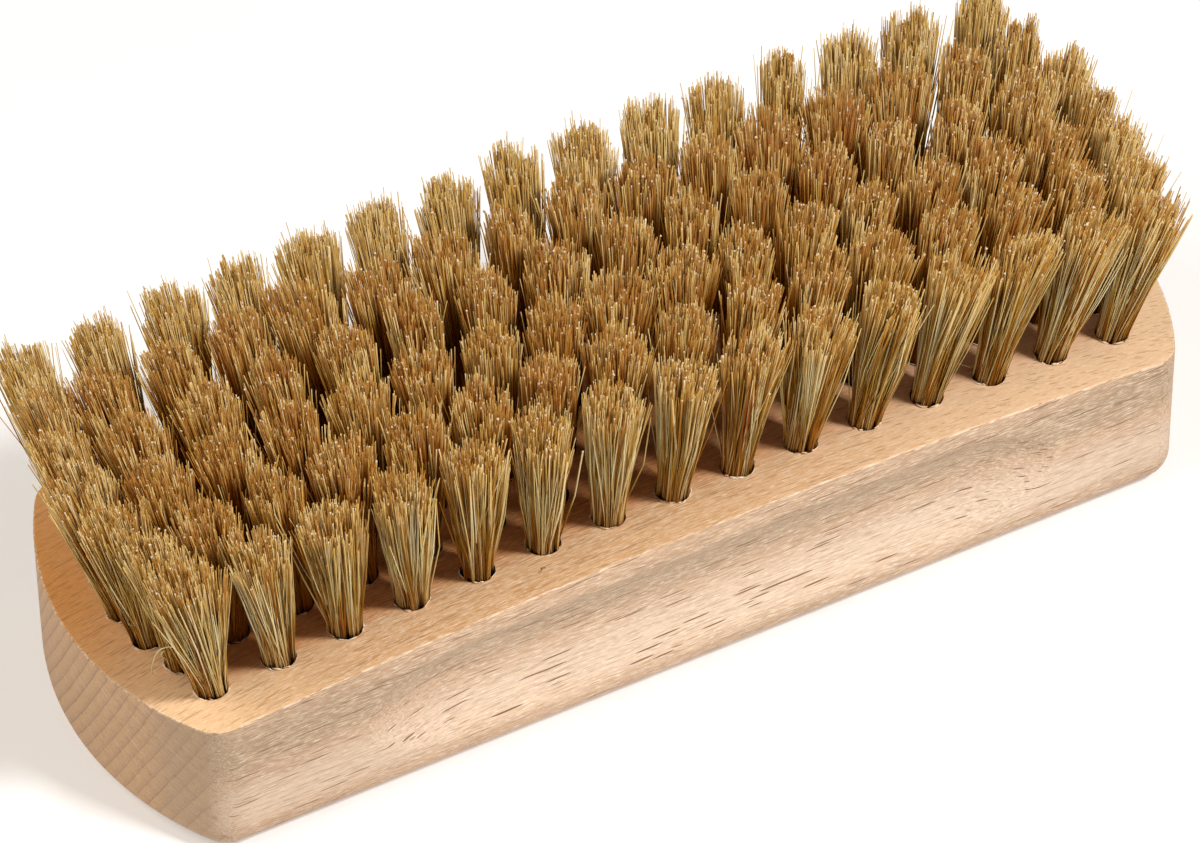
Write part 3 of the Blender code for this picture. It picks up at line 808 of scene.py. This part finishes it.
def beech_finish():
    """Beech as a solid: growth rings round a far pith, two sizes of ray flecks that stand along the grain and
    the radius, fibres, browner end grain, painted shade on the upper flank of the groove and a painted sheen
    on its lower flank, painted shade on the flat sides beyond the groove, painted light and shade on the face
    from end to end, painted shade on the face between the tufts, pale slivers on the edge and a burnished
    corner.
    Works in millimetres."""
    material, tree, shader = new_finish("beech_wood")
    place = node(tree, "ShaderNodeTexCoord", {}, {}, output="Object")
    place = stretched(tree, place, (1000.0, 1000.0, 1000.0))
    x, y, z = split_parts(tree, place)
    facing = split_parts(tree, node(tree, "ShaderNodeNewGeometry", {}, {}, output="Normal"))
    end_grain = facing[0].math("ABSOLUTE").between(0.45, 0.95)
    face_up = facing[2].between(0.6, 0.95)
    along = 1.0 - end_grain
    on_side = (1.0 - face_up) * along

    radius, around, part, year = growth(tree, place, x, y, z)
    late = part ** 1.6 * part.between(0.90, 1.0, 1.0, 0.0) * (0.40 + 0.60 * year)
    ring_line = part.between(0.82, 0.93) * part.between(0.94, 1.0, 1.0, 0.0) * (0.30 + 0.70 * year)
    band = part.between(0.30, 0.92) * part.between(0.95, 0.99, 1.0, 0.0) * (0.75 + 0.25 * year)

    fleck = ray_flecks(tree, around, x, radius, (0.24, 9.5, 1.0), 0.16, 1.0, 0.31)
    fine_fleck = ray_flecks(tree, around, x, radius, (0.11, 3.2, 0.6), 0.20, 1.0)
    fibre = noise(tree, place, (0.18, 5.2, 5.2), 3.0, 0.70)
    grain = noise(tree, place, (0.6, 7.5, 7.5), 2.0, 0.6)
    spread = node(tree, "ShaderNodeCombineXYZ", {}, {0: around, 1: x, 2: radius})
    ray_lines = noise(tree, spread, (3.6, 0.12, 0.16), 2.0, 0.6)
    zone = noise(tree, place, (0.02, 0.09, 0.09), 2.0)
    sparkle = noise(tree, place, (0.8, 8.0, 8.0), 1.0).between(0.58, 0.70)

    # Painted light on the groove: the upper flank, which faces down, is darkened as painted shade, and the
    # lower flank, which faces up, is paled as a painted sheen
    painted_shade_upper_flank = on_side * z.between(12.5, 15.5) * z.between(18.5, 22.0, 1.0, 0.0)
    painted_sheen_lower_flank = on_side * z.between(2.6, 6.2) * z.between(8.0, 14.5, 1.0, 0.0)
    dark_fibre = mix_colors(tree, face_up, (0.430, 0.290, 0.185), (0.500, 0.250, 0.095))
    # Painted light: the face near the left end is lightened
    painted_light_left_end = face_up * x.between(-68.0, -44.0, 1.0, 0.0)
    # Painted shadow: the face at the left end, most towards the back, is darkened and warmed as in the tufts'
    # shadow
    painted_shadow_left_end = face_up * x.between(-75.0, -52.0, 1.0, 0.0) * y.between(-20.0, 8.0)
    # Painted shade: the face between the tufts is darker and warmer where they shade it
    among = face_up * y.between(-19.5, -15.0) * y.between(13.0, 17.5, 1.0, 0.0)
    among = among * x.math("ABSOLUTE").between(60.0, 66.0, 1.0, 0.0)
    # Painted light: the face is lighter towards the right end, where the light falls
    painted_light_right_face = face_up * x.between(-8.0, 50.0)
    # Painted shade: the flat sides beyond the groove are darkened
    painted_shade_outer_sides = on_side * (x - 8.0).math("ABSOLUTE").between(34.0, 66.0)

    color = mix_colors(tree, zone.between(0.3, 0.7), (0.606, 0.398, 0.262), (0.522, 0.352, 0.236))
    color = layered(tree, color, [
        (face_up * 0.9, (0.740, 0.460, 0.238)),
        (end_grain * 0.85, (0.530, 0.310, 0.148)),
        (late * 0.34 * along, (0.380, 0.235, 0.130)),
        (band * 0.62 * end_grain, (0.370, 0.205, 0.112)),
        (ring_line * (0.10 + 0.70 * end_grain), (0.240, 0.122, 0.056)),
        # painted shade on the groove's upper flank, then a painted sheen on its lower flank
        (painted_shade_upper_flank * 0.70, (0.400, 0.300, 0.205)),
        (painted_sheen_lower_flank * 0.50, (0.950, 0.800, 0.665)),
        (fibre.between(0.48, 0.62) * (0.70 - 0.25 * end_grain - 0.12 * painted_sheen_lower_flank), dark_fibre),
        (ray_lines.between(0.50, 0.68) * (0.10 + 0.25 * end_grain), (0.360, 0.225, 0.135)),
        (ray_lines.between(0.34, 0.48, 1.0, 0.0) * end_grain * 0.22, (0.740, 0.560, 0.400)),
        (grain.between(0.48, 0.64) * (0.60 - 0.40 * end_grain), (0.860, 0.660, 0.470)),
        (sparkle * (0.15 + 0.40 * along), (0.980, 0.860, 0.720)),
        # painted light on the face near the left end
        (painted_light_left_end * 0.50, (0.940, 0.660, 0.400)),
        # painted shadow on the face at the left end
        (painted_shadow_left_end, (0.960, 0.665, 0.350), "MULTIPLY"),
        # painted shade on the face between the tufts
        (among * 0.9, (0.900, 0.540, 0.290), "MULTIPLY"),
        # painted light on the face towards the right end
        (painted_light_right_face * 0.50, (0.920, 0.675, 0.450)),
        # painted shade on the flat sides beyond the groove
        (painted_shade_outer_sides, (0.885, 0.865, 0.848), "MULTIPLY"),
        (fine_fleck * (0.50 + 0.15 * face_up) * along, (0.420, 0.215, 0.085)),
        (fleck * (0.95 - 0.70 * face_up) * (0.3 + 0.7 * along), (0.225, 0.120, 0.058)),
        # pale slivers along the top edge
        (pale_edge_slivers(tree, place, x, y, z) * 0.55, (0.960, 0.820, 0.640)),
        (burnished_corner(tree, place, x, y, face_up) * 0.45, (0.360, 0.270, 0.190)),
    ])
    link(tree, color, shader, "Base Color")
    link(tree, 0.50 + 0.14 * fibre + 0.10 * fleck - 0.12 * sparkle, shader, "Roughness")
    shader.inputs["Specular IOR Level"].default_value = 0.30
    relief = fibre * 0.40 + grain * 0.45 - fleck * 0.9 - late * 0.25
    relief = {"Strength": 0.7, "Distance": HEIGHT_OF_RELIEF, "Height": relief}
    link(tree, node(tree, "ShaderNodeBump", {}, relief), shader, "Normal")
    return material


def torn_fibre_finish():
    """Fresh pale beech where fibres are torn, with a tone for each fibre from the map."""
    material, tree, shader = new_finish("torn_beech")
    tone, way, _ = split_parts(tree, node(tree, "ShaderNodeUVMap", {"uv_map": "OFBake"}, {}))
    color = mix_colors(tree, tone, (0.720, 0.480, 0.290), (0.980, 0.860, 0.680))
    color = mix_colors(tree, way.between(0.0, 0.3, 0.4, 0.0), color, (0.560, 0.340, 0.190))
    link(tree, color, shader, "Base Color")
    shader.inputs["Roughness"].default_value = 0.7
    shader.inputs["Specular IOR Level"].default_value = 0.25
    return material


def bristle_finish():
    """Natural bristle: the map's U is the hair's tone, from dark brown through straw to cream and, past it,
    black; V runs from the root, browner as painted shade and dark in the hole as painted shadow, to the
    golden tip and the bright cut end, which is partly a painted highlight. Light shines through the upper
    half."""
    material, tree, shader = new_finish("natural_bristle")
    tone, way, _ = split_parts(tree, node(tree, "ShaderNodeUVMap", {"uv_map": "OFBake"}, {}))
    stops = [(0.0, (0.045, 0.018, 0.005)), (0.05, (0.340, 0.050, 0.001)), (0.24, (0.360, 0.094, 0.002)),
             (0.46, (0.415, 0.176, 0.010)), (0.66, (0.535, 0.318, 0.044)), (0.86, (0.890, 0.740, 0.350)),
             (0.95, (0.990, 0.915, 0.640)), (0.97, (0.990, 0.915, 0.640)), (0.985, (0.020, 0.014, 0.010))]
    color = node(tree, "ShaderNodeValToRGB", {"stops": stops}, {"Fac": tone})
    streak = node(tree, "ShaderNodeCombineXYZ", {}, {0: tone * 310.0, 1: way * 3.0, 2: 0.0})
    streak = node(tree, "ShaderNodeTexNoise", {}, {"Vector": streak, "Scale": 1.0, "Detail": 2.0})
    not_black = tone.between(0.97, 0.98, 1.0, 0.0)
    color = layered(tree, color, [
        (streak.between(0.35, 0.7) * 0.20, (0.580, 0.380, 0.080)),
        # Painted shade: each hair browner towards the face
        (way.between(0.0, 0.60, 0.26, 0.0), (0.560, 0.215, 0.012)),
        # Painted shadow: a near-black band just under the face, in the hole
        (way.between(0.036, 0.044, 0.80, 0.0), (0.030, 0.014, 0.005)),
        (way.between(0.72, 0.965) * 0.34 * not_black, (0.860, 0.600, 0.205)),
        # the bright cut end: paler cut section, partly a painted highlight
        (way.between(0.972, 0.978) * 0.95 * not_black, (0.990, 0.900, 0.700)),
    ])
    link(tree, color, shader, "Base Color")
    link(tree, 0.30 + 0.20 * streak, shader, "Roughness")
    shader.inputs["Specular IOR Level"].default_value = 0.12
    through = node(tree, "ShaderNodeBsdfTranslucent", {}, {"Color": (0.880, 0.560, 0.120, 1.0)})
    glow = way.between(0.35, 0.95, 0.22, 0.42) * not_black * tone.between(0.55, 0.90, 1.0, 0.70)
    mixed = node(tree, "ShaderNodeMixShader", {}, {0: glow, 1: Wire(tree, shader.outputs[0]), 2: through})
    tree.links.new(mixed.socket, tree.nodes["Material Output"].inputs["Surface"])
    return material


def floor_finish():
    material, tree, shader = new_finish("studio_floor")
    shader.inputs["Base Color"].default_value = (0.67, 0.69, 0.72, 1.0)
    shader.inputs["Roughness"].default_value = 0.9
    shader.inputs["Emission Color"].default_value = (1.0, 0.95, 0.90, 1.0)
    shader.inputs["Emission Strength"].default_value = 0.32
    return material


# Studio


def add_camera():
    azimuth = math.radians(CAMERA_AZIMUTH)
    elevation = math.radians(CAMERA_ELEVATION)
    roll = math.radians(CAMERA_ROLL)
    back = Vector((math.sin(azimuth) * math.cos(elevation), -math.cos(azimuth) * math.cos(elevation),
                   math.sin(elevation)))
    right = Vector((math.cos(azimuth), math.sin(azimuth), 0.0))
    up = back.cross(right)
    turned_right = math.cos(roll) * right + math.sin(roll) * up
    turned_up = math.cos(roll) * up - math.sin(roll) * right
    data = bpy.data.cameras.new("camera")
    data.lens = CAMERA_LENS
    data.sensor_width = 36.0
    data.sensor_fit = "HORIZONTAL"
    data.clip_start = 0.05
    data.clip_end = 20.0
    camera = bpy.data.objects.new("camera", data)
    rotation = Matrix((turned_right, turned_up, back)).transposed().to_4x4()
    camera.matrix_world = Matrix.Translation(CAMERA_TARGET + back * CAMERA_DISTANCE) @ rotation
    bpy.context.scene.collection.objects.link(camera)
    bpy.context.scene.camera = camera


def add_light(name, place, size, power, color):
    """A square area light at this place that points at the brush."""
    data = bpy.data.lights.new(name, "AREA")
    data.size = size
    data.energy = power
    data.color = color
    light = bpy.data.objects.new(name, data)
    light.location = place
    light.rotation_euler = (Vector(place) - Vector((0.0, 0.0, 0.02))).to_track_quat("Z", "Y").to_euler()
    bpy.context.scene.collection.objects.link(light)


def add_studio():
    side = 6.0
    corners = np.array([[-side, -side, 0], [side, -side, 0], [side, side, 0], [-side, side, 0]], float)
    floor = mesh_object("floor", corners, np.arange(4), np.array([0]), floor_finish(), smooth=False)
    world = bpy.data.worlds.new("studio_air")
    world.use_nodes = True
    world.node_tree.nodes["Background"].inputs["Color"].default_value = (1.0, 0.87, 0.72, 1.0)
    world.node_tree.nodes["Background"].inputs["Strength"].default_value = 0.29
    bpy.context.scene.world = world
    add_light("key_light", (0.36, -0.63, 0.95), 0.18, 11.8, (1.0, 0.98, 0.95))
    add_light("left_light", (-0.60, 0.05, 0.80), 0.60, 4.2, (1.0, 0.92, 0.82))
    bpy.context.scene.view_settings.view_transform = "Standard"


# The brush


chance = np.random.default_rng(11)
beech = beech_finish()
bristle = bristle_finish()

fields = {
    "tuft_row_1": row(-OUTER_ROW_Y, 15, OUTER_ROW_REACH, 0.0, FRONT_ROW_LEAN, FRONT_ROW_TRIM),
    "tuft_row_2": row(-MIDDLE_ROW_Y, 14, MIDDLE_ROW_REACH),
    "tuft_row_3": row(-INNER_ROW_Y, 15, INNER_ROW_REACH),
    "tuft_row_4": row(INNER_ROW_Y, 14, INNER_ROW_REACH, FOURTH_ROW_SHIFT),
    "tuft_row_5": row(MIDDLE_ROW_Y, 14, MIDDLE_ROW_REACH, FIFTH_ROW_SHIFT),
    "tuft_row_6": row(OUTER_ROW_Y, 15, OUTER_ROW_REACH, SIXTH_ROW_SHIFT, SIXTH_ROW_LEAN),
    "tuft_end_left": end_arc(-1),
    "tuft_end_right": end_arc(1),
}

block = beech_block(fields.values(), beech, chance)
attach(block, "root")
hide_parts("block")

for node_name, field in fields.items():
    tufts = bristle_tufts(node_name.replace("tuft", "bristles"), field, bristle, chance)
    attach(tufts, "root")
    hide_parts(node_name)

torn = torn_fibres(fields.values(), torn_fibre_finish(), chance)
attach(torn, "root")

loose = loose_bristles(bristle)
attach(loose, "root")

add_studio()
add_camera()
